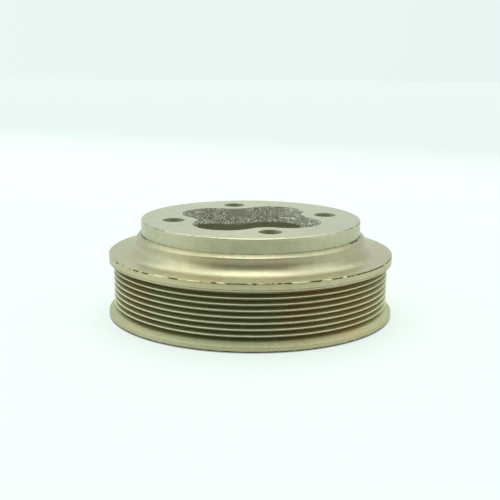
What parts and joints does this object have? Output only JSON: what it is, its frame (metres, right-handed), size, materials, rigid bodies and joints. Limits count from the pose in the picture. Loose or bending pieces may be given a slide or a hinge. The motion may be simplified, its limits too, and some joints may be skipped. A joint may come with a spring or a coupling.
{
  "type": "crankshaft pulley",
  "caption": "One-piece ribbed-belt crankshaft pulley: grooved barrel between two flanges, stepped hub face with a lobed window and bolt holes, open cavity behind.",
  "frame": {"origin": "on the shaft's axis, in the plane of the open foot that the pulley stands on", "axes": "+Z along the shaft's axis, from the open foot to the hub face; +X and +Y in the foot's plane, with the first bolt hole 13.4 degrees from +X towards +Y"},
  "size_m": [0.1768, 0.1768, 0.0589],
  "materials": {
    "plated_iron": "turned grey iron, zinc plated with an olive-yellow passivation"
  },
  "bodies": {
    "root": {"pulley_body": "plated_iron"}
  },
  "joints": []
}
